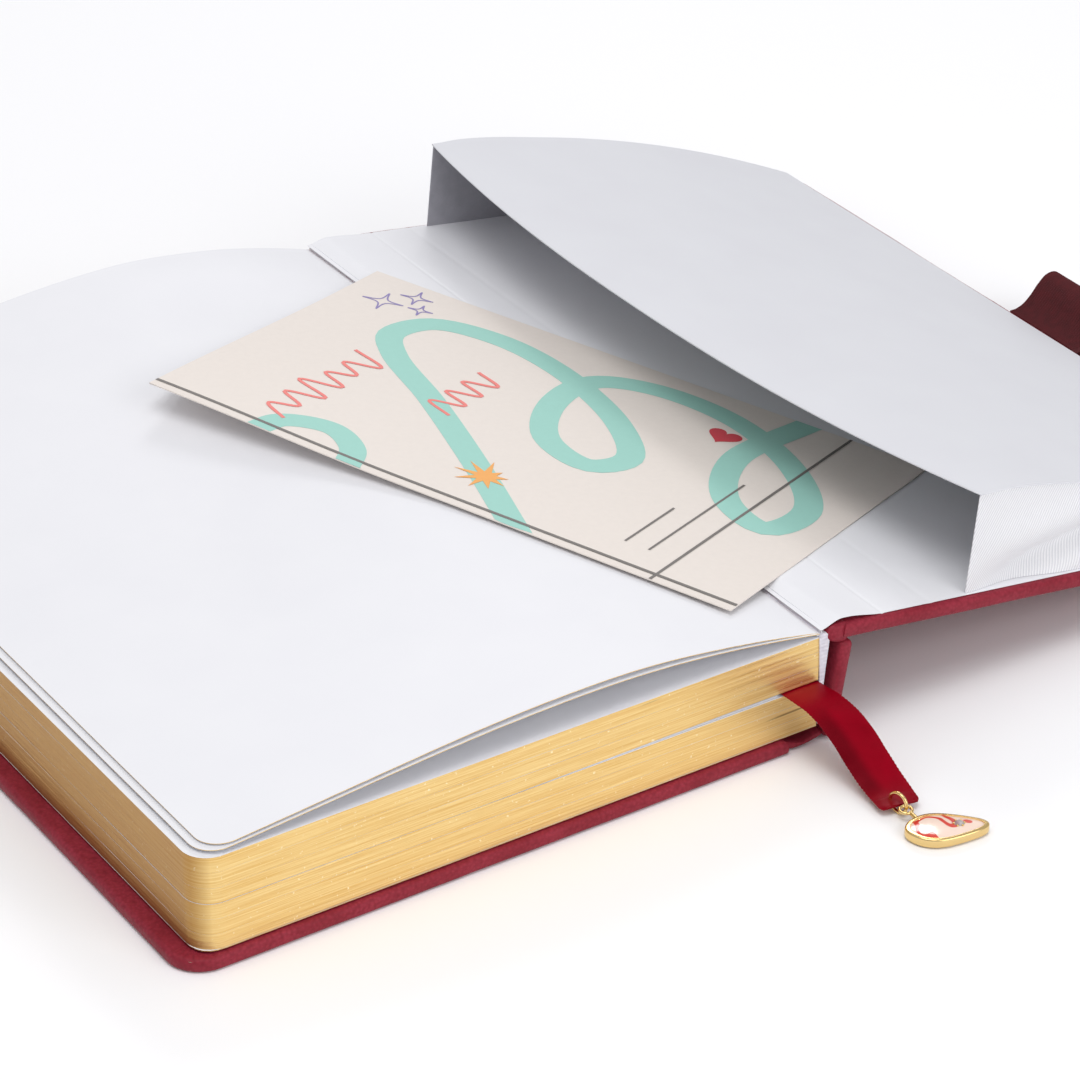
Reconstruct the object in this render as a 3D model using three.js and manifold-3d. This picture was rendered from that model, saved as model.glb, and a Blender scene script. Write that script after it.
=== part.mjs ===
// A leather-cased devotional journal lying open at its back cover, in millimetres, +Z up.
// X runs from the front board's fore-edge towards the spine, Y from the tail to the head.
// The front board lies on the table, the pages lie on it, and the back cover is opened to +X.

import * as THREE from 'three';
import { mergeVertices } from 'three/addons/utils/BufferGeometryUtils.js';
import Module from 'manifold-3d';

const wasm = await Module();
wasm.setup();

// Driving dimensions of the case.
const COVER_HEIGHT = 216;
const COVER_WIDTH = 148;
const COVER_CORNER = 8;
const LEATHER = 0.5;
const BOARD = 2.2;
const FIT = 0.1;
const COVER_THICKNESS = 2 * (LEATHER + FIT) + BOARD;
const TURN_IN = 12;

// The page block.
const BLOCK_FORE = 4.2;
const BLOCK_SPINE = 156.2;
const BLOCK_TAIL = 1.5;
const BLOCK_HEAD = 213.5;
const BLOCK_CORNER = 6;
const LEAF = 0.2;
const PASTEDOWN_INSET = 1.6;
const FLYLEAF_BOTTOM = 3.8;
const BLOCK_BOTTOM = 4.05;
const BLOCK_TOP = 26.3;
const RIBBON_GAP_BOTTOM = 14.6;
const RIBBON_GAP_TOP = 15.6;
const SECTIONS_PER_HALF = 3;
const SECTION_GAP = 0.05;

// The back cover's hinge line, at the top joint, and how far the open cover slopes down.
const HINGE_X = 154.4;
const HINGE_Z = 29.16;
const COVER_TILT = THREE.MathUtils.degToRad(8.07);
const BACK_BOARD_START = 7.4;
const BACK_BOARD_END = 154.4;

// The spine strip, leaning outwards while the cover is open.
const SPINE_X = 157.4;
const SPINE_Z = 0.8;
const SPINE_LEAN = THREE.MathUtils.degToRad(9);
const SPINE_LENGTH = 23.6;

// The expanding pocket inside the back cover, hinged along the fore-edge.
const POCKET_MOUTH = 36.5;
const POCKET_FOLD = 151.8;
const POCKET_FOLD_HEIGHT = 0.5;
const POCKET_ANGLE = THREE.MathUtils.degToRad(11.1);
const POCKET_TAIL = 1.8;
const POCKET_HEAD = 214.2;
const GUSSET_THICKNESS = 0.3;

// The loose card, a third of it inside the pocket.
const CARD_WIDTH = 96;
const CARD_LENGTH = 152;
const CARD_THICKNESS = 0.25;
const CARD_HEIGHT = 0.45;
const CARD_CENTRE = [-2.3, 103];
const CARD_TURN = THREE.MathUtils.degToRad(25.3);

// The elastic pen loop on the back cover's fore-edge.
const LOOP_WIDTH = 24.5;
const LOOP_MIDDLE_Y = 109.5;
const LOOP_THICKNESS = 1.2;

// The ribbon bookmark, its ring and its charm.
const RIBBON_WIDTH = 9.5;
const RIBBON_THICKNESS = 0.35;
const RING_RADIUS = 2.3;
const RING_WIRE = 0.4;
const RING_CENTRE = [154.24, -29.98, 2.75];
const RING_HEADING = THREE.MathUtils.degToRad(-80);
const RING_SPAN = 4.4;
const CHARM_HEADING = THREE.MathUtils.degToRad(-25.8);
const CHARM_CENTRE = [158, -41.8];

const COLOUR = {
  leather: 0x8b2f3a,
  board: 0x9a8f80,
  paper: 0xefeff2,
  gilt: 0xd9b070,
  lining: 0xd8d8e0,
  ribbon: 0x8a0016,
  elastic: 0x4a0a10,
  cloth: 0xe8e8ee,
  card: 0xebe5e0,
  gold: 0xd8b36a,
  enamel: 0xf2dcc8,
  stone: 0xbcd0d8,
};

const book = new THREE.Group();

function addPart(name, geometry, colour, roughness = 0.7, metalness = 0, parent = book) {
  const material = new THREE.MeshStandardMaterial({ color: colour, roughness, metalness });
  const mesh = new THREE.Mesh(geometry, material);
  mesh.name = name;
  parent.add(mesh);
  return mesh;
}

// Booleans on closed three.js geometries.
function toSolid(geometry) {
  const bare = geometry.clone();
  bare.deleteAttribute('normal');
  bare.deleteAttribute('uv');
  const merged = mergeVertices(bare, 1e-5);
  return new wasm.Manifold(new wasm.Mesh({
    numProp: 3,
    vertProperties: new Float32Array(merged.attributes.position.array),
    triVerts: new Uint32Array(merged.index.array),
  }));
}

function toGeometry(solid) {
  const mesh = solid.getMesh();
  const geometry = new THREE.BufferGeometry();
  geometry.setAttribute('position', new THREE.BufferAttribute(mesh.vertProperties, 3));
  geometry.setIndex(new THREE.BufferAttribute(mesh.triVerts, 1));
  geometry.computeVertexNormals();
  return geometry;
}

// A rectangle whose two corners at the fore-edge are rounded. The fore-edge is at foreX,
// on whichever side of spineX the board or page has it.
function leafOutline(foreX, spineX, tailY, headY, corner) {
  const side = Math.sign(foreX - spineX);
  const shape = new THREE.Shape();
  shape.moveTo(spineX, tailY);
  shape.lineTo(foreX - side * corner, tailY);
  shape.quadraticCurveTo(foreX, tailY, foreX, tailY + corner);
  shape.lineTo(foreX, headY - corner);
  shape.quadraticCurveTo(foreX, headY, foreX - side * corner, headY);
  shape.lineTo(spineX, headY);
  shape.closePath();
  return shape;
}

function slab(shape, bottom, thickness) {
  const geometry = new THREE.ExtrudeGeometry(shape, {
    depth: thickness, bevelEnabled: false, curveSegments: 6,
  });
  return geometry.translate(0, 0, bottom);
}

// Leather drawn round a board: the outer skin, the walls at the board's edges and the turned-in
// border, open in the middle of the inner side.
function leatherCase(foreX, spineX, bottom) {
  const outer = toSolid(slab(
    leafOutline(foreX, spineX, 0, COVER_HEIGHT, COVER_CORNER), bottom, COVER_THICKNESS));
  const side = Math.sign(foreX - spineX);
  const wall = LEATHER;
  const core = toSolid(slab(
    leafOutline(foreX - side * wall, spineX + side * wall, wall, COVER_HEIGHT - wall,
      COVER_CORNER - wall),
    bottom + LEATHER, BOARD + 2 * FIT));
  const window = toSolid(slab(
    leafOutline(foreX - side * TURN_IN, spineX + side * TURN_IN, TURN_IN,
      COVER_HEIGHT - TURN_IN, COVER_CORNER),
    bottom + LEATHER, COVER_THICKNESS));
  return toGeometry(outer.subtract(core).subtract(window));
}

function board(foreX, spineX, bottom) {
  const side = Math.sign(foreX - spineX);
  const inset = LEATHER + FIT;
  return slab(
    leafOutline(foreX - side * inset, spineX + side * inset, inset, COVER_HEIGHT - inset,
      COVER_CORNER - inset),
    bottom + LEATHER + FIT, BOARD);
}

// A prism whose X-Z profile runs the length of the cover.
function lengthwise(points, tailY, headY) {
  const shape = new THREE.Shape(points.map(([x, z]) => new THREE.Vector2(x, z)));
  const geometry = new THREE.ExtrudeGeometry(shape, {
    depth: headY - tailY, bevelEnabled: false, curveSegments: 6,
  });
  return geometry.rotateX(Math.PI / 2).translate(0, headY, 0);
}

// Front cover, lying on the table.
addPart('front_cover_leather', leatherCase(0, COVER_WIDTH, 0), COLOUR.leather, 0.45);
addPart('front_board', board(0, COVER_WIDTH, 0), COLOUR.board, 0.9);
addPart('front_pastedown', slab(
  leafOutline(PASTEDOWN_INSET, COVER_WIDTH, PASTEDOWN_INSET, COVER_HEIGHT - PASTEDOWN_INSET,
    COVER_CORNER),
  COVER_THICKNESS + 0.05, LEAF), COLOUR.paper);
addPart('front_joint_leather', lengthwise([
  [148.2, 0.2], [151, 0], [154, 0.1], [156.9, 0.6],
  [156.9, 2.0], [154, 2.1], [151, 1.9], [148.2, 1.7],
], 0, COVER_HEIGHT), COLOUR.leather, 0.45);

// The page block: two halves with the ribbon between them, each of three sewn sections.
const blockOutline = leafOutline(BLOCK_FORE, BLOCK_SPINE, BLOCK_TAIL, BLOCK_HEAD, BLOCK_CORNER);
addPart('front_flyleaf', slab(blockOutline, FLYLEAF_BOTTOM, LEAF), COLOUR.paper);
function addSections(firstNumber, bottom, top) {
  const pitch = (top - bottom) / SECTIONS_PER_HALF;
  for (let i = 0; i < SECTIONS_PER_HALF; i += 1) {
    const thickness = pitch - (i < SECTIONS_PER_HALF - 1 ? SECTION_GAP : 0);
    addPart(`page_section_${firstNumber + i}`, slab(blockOutline, bottom + i * pitch, thickness),
      COLOUR.gilt, 0.35, 0.6);
  }
}
addSections(1, BLOCK_BOTTOM, RIBBON_GAP_BOTTOM);
addSections(1 + SECTIONS_PER_HALF, RIBBON_GAP_TOP, BLOCK_TOP);
addPart('back_leaf_lower', slab(blockOutline, BLOCK_TOP + 0.1, LEAF), COLOUR.paper);
addPart('back_leaf_upper', slab(blockOutline, BLOCK_TOP + 0.4, LEAF), COLOUR.paper);
addPart('spine_lining', new THREE.BoxGeometry(0.8, BLOCK_HEAD - BLOCK_TAIL, BLOCK_TOP - BLOCK_BOTTOM)
  .translate(BLOCK_SPINE + 0.5, (BLOCK_HEAD + BLOCK_TAIL) / 2, (BLOCK_TOP + BLOCK_BOTTOM) / 2),
COLOUR.lining);

// The spine strip.
const spine = new THREE.Group();
spine.position.set(SPINE_X, 0, SPINE_Z);
spine.rotation.y = SPINE_LEAN;
book.add(spine);
const spineOuter = toSolid(new THREE.BoxGeometry(COVER_THICKNESS, COVER_HEIGHT, SPINE_LENGTH)
  .translate(COVER_THICKNESS / 2, COVER_HEIGHT / 2, SPINE_LENGTH / 2));
const spineCore = toSolid(new THREE.BoxGeometry(
  COVER_THICKNESS, COVER_HEIGHT - 2 * LEATHER, SPINE_LENGTH - 2 * LEATHER)
  .translate(COVER_THICKNESS / 2 - LEATHER, COVER_HEIGHT / 2, SPINE_LENGTH / 2));
addPart('spine_leather', toGeometry(spineOuter.subtract(spineCore)), COLOUR.leather, 0.45, 0, spine);
addPart('spine_board', new THREE.BoxGeometry(
  BOARD, COVER_HEIGHT - 2 * (LEATHER + FIT), SPINE_LENGTH - 2 * (LEATHER + FIT))
  .translate(COVER_THICKNESS - LEATHER - FIT - BOARD / 2, COVER_HEIGHT / 2, SPINE_LENGTH / 2),
COLOUR.board, 0.9, 0, spine);

// The back cover, in a frame on its hinge line: X along the board, Z out of its inner face.
const back = new THREE.Group();
back.position.set(HINGE_X, 0, HINGE_Z);
back.rotation.y = COVER_TILT;
book.add(back);
addPart('back_cover_leather', leatherCase(BACK_BOARD_END, BACK_BOARD_START, -COVER_THICKNESS),
  COLOUR.leather, 0.45, 0, back);
addPart('back_board', board(BACK_BOARD_END, BACK_BOARD_START, -COVER_THICKNESS),
  COLOUR.board, 0.9, 0, back);
addPart('back_pastedown', slab(
  leafOutline(BACK_BOARD_END - PASTEDOWN_INSET, 2, PASTEDOWN_INSET,
    COVER_HEIGHT - PASTEDOWN_INSET, COVER_CORNER),
  0.05, LEAF), COLOUR.paper, 0.7, 0, back);
addPart('back_joint_leather', lengthwise([
  [157.5, 25.4], [160.8, 25.0], [161.1, 27.8], [160.4, 28.05], [157.9, 28.3], [157.3, 27.2],
], 0, COVER_HEIGHT), COLOUR.leather, 0.45);

// The elastic pen loop: an oval band, standing just off the board's fore-edge.
const loopShape = new THREE.Shape();
const LOOP_INNER_X = BACK_BOARD_END + 0.3;
const LOOP_OUTER_X = LOOP_INNER_X + 15;
const LOOP_LOW = -6;
const LOOP_HIGH = 9.2;
const LOOP_ROUND = 6.5;
function ovalPath(path, inset) {
  const left = LOOP_INNER_X + inset;
  const right = LOOP_OUTER_X - inset;
  const low = LOOP_LOW + inset;
  const high = LOOP_HIGH - inset;
  const round = LOOP_ROUND - inset;
  path.moveTo(left, low + 2);
  path.quadraticCurveTo(left, low, left + 3, low);
  path.lineTo(right - round, low);
  path.quadraticCurveTo(right, low, right, low + round);
  path.lineTo(right, high - round);
  path.quadraticCurveTo(right, high, right - round, high);
  path.quadraticCurveTo(left + 2, high, left, (low + high) / 2);
  path.closePath();
  return path;
}
ovalPath(loopShape, 0);
loopShape.holes.push(ovalPath(new THREE.Path(), LOOP_THICKNESS));
addPart('pen_loop', new THREE.ExtrudeGeometry(loopShape, {
  depth: LOOP_WIDTH, bevelEnabled: false, curveSegments: 6,
}).rotateX(Math.PI / 2).translate(0, LOOP_MIDDLE_Y + LOOP_WIDTH / 2, 0),
COLOUR.elastic, 0.9, 0, back);

// The pocket: a stiff paper panel hinged at the fore-edge, and a folding gusset at each end.
const panel = new THREE.Group();
panel.position.set(POCKET_FOLD, 0, POCKET_FOLD_HEIGHT);
panel.rotation.y = POCKET_ANGLE;
back.add(panel);
const panelLength = (POCKET_FOLD - POCKET_MOUTH) / Math.cos(POCKET_ANGLE);
addPart('pocket_panel', new THREE.BoxGeometry(panelLength, POCKET_HEAD - POCKET_TAIL, 0.3)
  .translate(-panelLength / 2, (POCKET_HEAD + POCKET_TAIL) / 2, 0.15),
COLOUR.paper, 0.7, 0, panel);
const gussetRun = POCKET_FOLD - POCKET_MOUTH - 5;
const gussetRise = gussetRun * Math.tan(POCKET_ANGLE);
function gusset(tailY) {
  return lengthwise([
    [POCKET_MOUTH + 1, 0.6],
    [POCKET_MOUTH + 1 + gussetRun, 0.6],
    [POCKET_MOUTH + 1, 0.6 + gussetRise],
  ], tailY, tailY + GUSSET_THICKNESS);
}
addPart('pocket_gusset_tail', gusset(2.4), COLOUR.cloth, 0.8, 0, back);
addPart('pocket_gusset_head', gusset(POCKET_HEAD - 0.9), COLOUR.cloth, 0.8, 0, back);

// The loose card.
const card = new THREE.Group();
card.position.set(CARD_CENTRE[0], CARD_CENTRE[1], CARD_HEIGHT);
card.rotation.z = CARD_TURN;
back.add(card);
addPart('insert_card', new THREE.BoxGeometry(CARD_WIDTH, CARD_LENGTH, CARD_THICKNESS)
  .translate(0, 0, CARD_THICKNESS / 2), COLOUR.card, 0.6, 0, card);

// The ribbon: a flat strip swept along its route from the head of the spine to the table.
function sweepStrip(stations, width, thickness) {
  const positions = [];
  const index = [];
  stations.forEach(({ point, across }, i) => {
    const next = stations[Math.min(i + 1, stations.length - 1)].point;
    const last = stations[Math.max(i - 1, 0)].point;
    const along = next.clone().sub(last).normalize();
    const side = across.clone().addScaledVector(along, -across.dot(along)).normalize();
    const up = side.clone().cross(along).normalize();
    for (const [s, u] of [[-0.5, -0.5], [0.5, -0.5], [0.5, 0.5], [-0.5, 0.5]]) {
      const p = point.clone().addScaledVector(side, s * width).addScaledVector(up, u * thickness);
      positions.push(p.x, p.y, p.z);
    }
  });
  for (let i = 0; i < stations.length - 1; i += 1) {
    for (let k = 0; k < 4; k += 1) {
      const a = 4 * i + k;
      const b = 4 * i + ((k + 1) % 4);
      index.push(a, b + 4, b, a, a + 4, b + 4);
    }
  }
  const end = 4 * (stations.length - 1);
  index.push(0, 1, 2, 0, 2, 3, end, end + 2, end + 1, end, end + 3, end + 2);
  const geometry = new THREE.BufferGeometry();
  geometry.setAttribute('position', new THREE.Float32BufferAttribute(positions, 3));
  geometry.setIndex(index);
  geometry.computeVertexNormals();
  return geometry;
}
const RIBBON_ROUTE = [
  [151, 212, 15.1], [151, 185, 15.1], [151, 150, 15.1], [151, 115, 15.1], [151, 80, 15.1],
  [151, 45, 15.1], [151.1, 20, 15.1], [151.3, 5, 15.1], [151.9, -1.5, 15], [152.7, -5.2, 14.5],
  [153.5, -9.5, 13], [154.4, -13.6, 10.2], [155.2, -17.6, 6.6], [155.6, -21.6, 3.9],
  [155.5, -26, 2.4], [154.7, -30.3, 2.1],
];
const RIBBON_TURN_START = 5;
const RIBBON_TURN_RUN = 35;
const RIBBON_TURN = -0.6;
const ribbonCurve = new THREE.CatmullRomCurve3(
  RIBBON_ROUTE.map((p) => new THREE.Vector3(...p)), false, 'centripetal');
const ribbonStations = ribbonCurve.getSpacedPoints(70).map((point) => {
  const turned = THREE.MathUtils.clamp((RIBBON_TURN_START - point.y) / RIBBON_TURN_RUN, 0, 1);
  return { point, across: new THREE.Vector3(1, RIBBON_TURN * turned, 0) };
});
const heading = new THREE.Vector3(Math.cos(RING_HEADING), Math.sin(RING_HEADING), 0);
const ringHole = new THREE.Vector3(...RING_CENTRE).addScaledVector(heading, -RING_SPAN / 2);
const hole = toSolid(new THREE.CylinderGeometry(1.0, 1.0, 3, 16)
  .rotateX(Math.PI / 2).translate(ringHole.x, ringHole.y, 2.05));
addPart('ribbon', toGeometry(
  toSolid(sweepStrip(ribbonStations, RIBBON_WIDTH, RIBBON_THICKNESS)).subtract(hole)),
COLOUR.ribbon, 0.5);

// The ring through the ribbon's end, upright in the plane of its heading.
addPart('ribbon_ring', new THREE.TorusGeometry(RING_RADIUS, RING_WIRE, 8, 32)
  .rotateX(Math.PI / 2).rotateZ(RING_HEADING)
  .translate(...RING_CENTRE), COLOUR.gold, 0.25, 1);

// The charm: a leaf-shaped gilt plate with an eyelet, an enamel inlay and a small stone.
const charm = new THREE.Group();
charm.position.set(CHARM_CENTRE[0], CHARM_CENTRE[1], 0.3);
charm.rotation.z = CHARM_HEADING;
book.add(charm);
function leafShape(halfLength, halfWidth) {
  const shape = new THREE.Shape();
  shape.moveTo(-halfLength, 0);
  shape.bezierCurveTo(-0.7 * halfLength, -1.25 * halfWidth, 0.35 * halfLength, -1.15 * halfWidth,
    halfLength, 0);
  shape.bezierCurveTo(0.35 * halfLength, 1.15 * halfWidth, -0.7 * halfLength, 1.25 * halfWidth,
    -halfLength, 0);
  return shape;
}
const eyelet = ringHole.clone().addScaledVector(heading, RING_SPAN)
  .sub(new THREE.Vector3(...CHARM_CENTRE, 0)).applyAxisAngle(new THREE.Vector3(0, 0, 1), -CHARM_HEADING);
const eyeletPlate = toSolid(new THREE.CylinderGeometry(1.7, 1.7, 0.9, 20)
  .rotateX(Math.PI / 2).translate(eyelet.x, eyelet.y, 1.75));
const neckEnd = new THREE.Vector3(-4, 3, 1.75);
const neckMiddle = new THREE.Vector3((eyelet.x + neckEnd.x) / 2, (eyelet.y + neckEnd.y) / 2, 1.75);
const neckRun = Math.hypot(eyelet.x - neckEnd.x, eyelet.y - neckEnd.y);
const neck = toSolid(new THREE.BoxGeometry(neckRun, 1.6, 0.9)
  .rotateZ(Math.atan2(neckEnd.y - eyelet.y, neckEnd.x - eyelet.x))
  .translate(neckMiddle.x, neckMiddle.y, neckMiddle.z));
const eyeletHole = toSolid(new THREE.CylinderGeometry(1.0, 1.0, 4, 16)
  .rotateX(Math.PI / 2).translate(eyelet.x, eyelet.y, 1.75));
const inlayRecess = toSolid(slab(leafShape(7.6, 3.9), 1.4, 2));
const plate = toSolid(slab(leafShape(9, 5.2), 0, 2.2));
addPart('charm_plate', toGeometry(
  plate.add(eyeletPlate).add(neck).subtract(eyeletHole).subtract(inlayRecess)),
COLOUR.gold, 0.3, 1, charm);
const stoneSeat = toSolid(new THREE.CylinderGeometry(1.3, 1.3, 2, 16)
  .rotateX(Math.PI / 2).translate(2.6, 0.4, 2.4));
addPart('charm_enamel', toGeometry(toSolid(slab(leafShape(7.4, 3.7), 1.45, 0.9)).subtract(stoneSeat)),
  COLOUR.enamel, 0.2, 0, charm);
addPart('charm_stone', new THREE.SphereGeometry(1.1, 16, 10).scale(1, 1, 0.6)
  .translate(2.6, 0.4, 2.2), COLOUR.stone, 0.05, 0, charm);

// The origin is under the middle of the book, leaving out the ribbon and what hangs on it.
const ON_RIBBON = ['ribbon', 'ribbon_ring', 'charm_plate', 'charm_enamel', 'charm_stone'];
book.updateMatrixWorld(true);
const extent = new THREE.Box3();
book.traverse((object) => {
  if (object.isMesh && !ON_RIBBON.includes(object.name)) {
    extent.union(new THREE.Box3().setFromObject(object, true));
  }
});
const middle = extent.getCenter(new THREE.Vector3());
book.position.set(-middle.x, -middle.y, -extent.min.z);

export default book;
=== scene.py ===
import math

import bmesh
import bpy
from mathutils import Matrix, Vector, noise


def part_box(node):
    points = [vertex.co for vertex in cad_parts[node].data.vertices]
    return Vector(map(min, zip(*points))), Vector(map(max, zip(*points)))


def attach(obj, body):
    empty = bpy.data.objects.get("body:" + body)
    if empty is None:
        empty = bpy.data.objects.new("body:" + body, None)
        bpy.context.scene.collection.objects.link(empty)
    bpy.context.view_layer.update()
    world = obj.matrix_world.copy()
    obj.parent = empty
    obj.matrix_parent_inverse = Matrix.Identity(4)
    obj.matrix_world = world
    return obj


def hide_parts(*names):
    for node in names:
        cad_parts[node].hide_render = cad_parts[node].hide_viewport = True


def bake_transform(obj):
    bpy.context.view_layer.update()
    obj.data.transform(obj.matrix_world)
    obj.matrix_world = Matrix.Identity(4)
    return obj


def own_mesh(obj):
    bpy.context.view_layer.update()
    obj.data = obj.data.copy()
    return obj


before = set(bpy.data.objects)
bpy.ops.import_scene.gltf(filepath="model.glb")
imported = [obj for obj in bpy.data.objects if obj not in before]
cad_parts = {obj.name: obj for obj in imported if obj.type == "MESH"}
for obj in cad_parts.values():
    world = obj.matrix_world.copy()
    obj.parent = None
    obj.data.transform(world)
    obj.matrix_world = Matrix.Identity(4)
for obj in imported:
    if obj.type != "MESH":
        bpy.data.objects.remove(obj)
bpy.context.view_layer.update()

# The book is measured in millimetres from the tail corner of its front board at the fore-edge, on
# the table: X to the spine, Y to the head, Z up. The back cover has a frame of its own on its
# hinge, with X along the board and Z out of the face that carries the pocket.
MILLIMETRE = 0.001
HINGE = (154.4, 0, 29.16)
COVER_TILT = math.radians(8.07)
book_frame = Matrix.Translation(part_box("front_cover_leather")[0]) @ Matrix.Scale(MILLIMETRE, 4)
cover_frame = book_frame @ Matrix.Translation(HINGE) @ Matrix.Rotation(COVER_TILT, 4, "Y")


# Camera, standing off the tail at the fore-edge corner and looking down over the open back cover.
CAMERA_PLACE = (-309.0, -588.4, 502.5)
heading, pitch, roll = (math.radians(angle) for angle in (33.7, 31.14, 0.41))
forward = Vector((math.sin(heading) * math.cos(pitch), math.cos(heading) * math.cos(pitch),
                  -math.sin(pitch)))
level = Vector((math.cos(heading), -math.sin(heading), 0))
upright = level.cross(forward)
right = level * math.cos(roll) + upright * math.sin(roll)
up = upright * math.cos(roll) - level * math.sin(roll)
camera = bpy.data.objects.new("camera", bpy.data.cameras.new("camera"))
camera.data.lens = 139.2
camera.data.sensor_width = 36
camera.data.clip_end = 20
camera.matrix_world = (Matrix.Translation(book_frame @ Vector(CAMERA_PLACE))
                       @ Matrix((right, up, -forward)).transposed().to_4x4())
bpy.context.scene.collection.objects.link(camera)
bpy.context.scene.camera = camera


# Studio: a white tent, a broad lamp overhead towards the fore-edge, a lower one facing the tail, a
# weak small one behind the back cover, and a matt white table.
def linear(hex_colour):
    """An sRGB hex colour as red, green, blue and 1 in linear light."""
    shares = [int(hex_colour[i:i + 2], 16) / 255 for i in (1, 3, 5)]
    return [s / 12.92 if s <= 0.04045 else ((s + 0.055) / 1.055) ** 2.4 for s in shares] + [1.0]


def set_inputs(node, inputs):
    """Gives each named socket of a node a value, or another node's output."""
    for socket, value in inputs.items():
        if isinstance(value, bpy.types.NodeSocket):
            node.id_data.links.new(value, node.inputs[socket])
        else:
            node.inputs[socket].default_value = value


def start_material(name, roughness, metallic=0.0):
    """A new material, its shader and the piece's own coordinates in metres."""
    material = bpy.data.materials.new(name)
    material.use_nodes = True
    nodes = material.node_tree.nodes
    shader = nodes["Principled BSDF"]
    set_inputs(shader, {"Roughness": roughness, "Metallic": metallic})
    return material, shader, nodes.new("ShaderNodeTexCoord").outputs["Object"]


def add_lamp(name, size, power, place, target):
    lamp = bpy.data.objects.new(name, bpy.data.lights.new(name, "AREA"))
    lamp.data.size = size
    lamp.data.energy = power
    lamp.location = place
    lamp.rotation_euler = (Vector(target) - Vector(place)).to_track_quat("-Z", "Y").to_euler()
    bpy.context.scene.collection.objects.link(lamp)


studio = bpy.data.worlds.new("studio")
studio.use_nodes = True
set_inputs(studio.node_tree.nodes["Background"], {"Color": linear("#f7f7fa"), "Strength": 0.6})
bpy.context.scene.world = studio
bpy.context.scene.view_settings.view_transform = "Standard"
add_lamp("overhead", 0.7, 6.3, (-0.3, -0.3, 1.25), (0, 0, 0.02))
add_lamp("tail_fill", 0.8, 4.4, (0.2, -1.1, 0.55), (0, 0, 0.02))
add_lamp("back_light", 0.3, 2.0, (0.52, 0.72, 0.8), (0.02, 0, 0.02))

table_paint, shader, _ = start_material("white_table_paint", 0.7)
set_inputs(shader, {"Base Color": linear("#fbfbfc")})
bm = bmesh.new()
bmesh.ops.create_grid(bm, x_segments=1, y_segments=1, size=6)
table_mesh = bpy.data.meshes.new("table")
bm.to_mesh(table_mesh)
bm.free()
table_mesh.materials.append(table_paint)
table = bpy.data.objects.new("table", table_mesh)
bpy.context.scene.collection.objects.link(table)


# Ribbon bookmark: woven double-face satin, dyed deep red, glued under the head of the spine, laid
# down the gutter between two halves of the pages, and hanging out at the tail to the table.
def add_piece(name, bm, frame_matrix, materials, sharp=35):
    """Makes an object of a bmesh built in millimetres, smooth except at edges sharper than sharp."""
    bm.transform(frame_matrix)
    for face in bm.faces:
        face.smooth = True
    for edge in bm.edges:
        edge.smooth = edge.is_manifold and edge.calc_face_angle() < math.radians(sharp)
    mesh = bpy.data.meshes.new(name)
    bm.to_mesh(mesh)
    bm.free()
    for material in materials:
        mesh.materials.append(material)
    piece = bpy.data.objects.new(name, mesh)
    bpy.context.scene.collection.objects.link(piece)
    return piece


CURVE_STEPS = 24


def smooth_line(points, steps):
    """Evenly stepped places on the centripetal curve through the points."""
    points = [Vector(p) for p in points]
    points = [2 * points[0] - points[1], *points, 2 * points[-1] - points[-2]]
    dense = []
    for p0, p1, p2, p3 in zip(points, points[1:], points[2:], points[3:]):
        t1 = (p1 - p0).length ** 0.5
        t2 = t1 + (p2 - p1).length ** 0.5
        t3 = t2 + (p3 - p2).length ** 0.5
        for i in range(CURVE_STEPS):
            t = t1 + (t2 - t1) * i / CURVE_STEPS
            a1 = p0.lerp(p1, t / t1)
            a2 = p1.lerp(p2, (t - t1) / (t2 - t1))
            a3 = p2.lerp(p3, (t - t2) / (t3 - t2))
            dense.append(a1.lerp(a2, t / t2).lerp(a2.lerp(a3, (t - t1) / (t3 - t1)),
                                                  (t - t1) / (t2 - t1)))
    dense.append(points[-2])
    lengths = [0]
    for a, b in zip(dense, dense[1:]):
        lengths.append(lengths[-1] + (b - a).length)
    stepped, k = [], 0
    for i in range(steps + 1):
        wanted = lengths[-1] * i / steps
        while k < len(dense) - 2 and lengths[k + 1] < wanted:
            k += 1
        share = (wanted - lengths[k]) / max(lengths[k + 1] - lengths[k], 1e-9)
        stepped.append(dense[k].lerp(dense[k + 1], share))
    return stepped


RIBBON_WIDTH = 9.5
RIBBON_THICKNESS = 0.35
RIBBON_ROUTE = [
    (151, 212, 15.1), (151, 185, 15.1), (151, 150, 15.1), (151, 115, 15.1), (151, 80, 15.1),
    (151, 45, 15.1), (151.1, 20, 15.1), (151.3, 5, 15.1), (151.9, -1.5, 15), (152.7, -5.2, 14.5),
    (153.5, -9.5, 13), (154.4, -13.6, 10.2), (155.2, -17.6, 6.6), (155.6, -21.6, 3.9),
    (155.5, -26, 2.4), (154.7, -30.3, 2.1),
]
RIBBON_STEPS = 560
RIBBON_COLUMNS = 12
RIBBON_TURN_START = 5
RIBBON_TURN_RUN = 35
RIBBON_TURN = -0.6
PICOT_PITCH = 0.9
PICOT_DEPTH = 0.07
HEM_LENGTH = 3.2
CUT_CORNER = 1.6
ribbon_line = smooth_line(RIBBON_ROUTE, RIBBON_STEPS)
ribbon_length = sum((b - a).length for a, b in zip(ribbon_line, ribbon_line[1:]))
step = ribbon_length / RIBBON_STEPS
bm = bmesh.new()
ribbon_uv = bm.loops.layers.uv.new("ribbon")
rings = []
ACROSS = [i / RIBBON_COLUMNS - 0.5 for i in range(RIBBON_COLUMNS + 1)]
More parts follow.
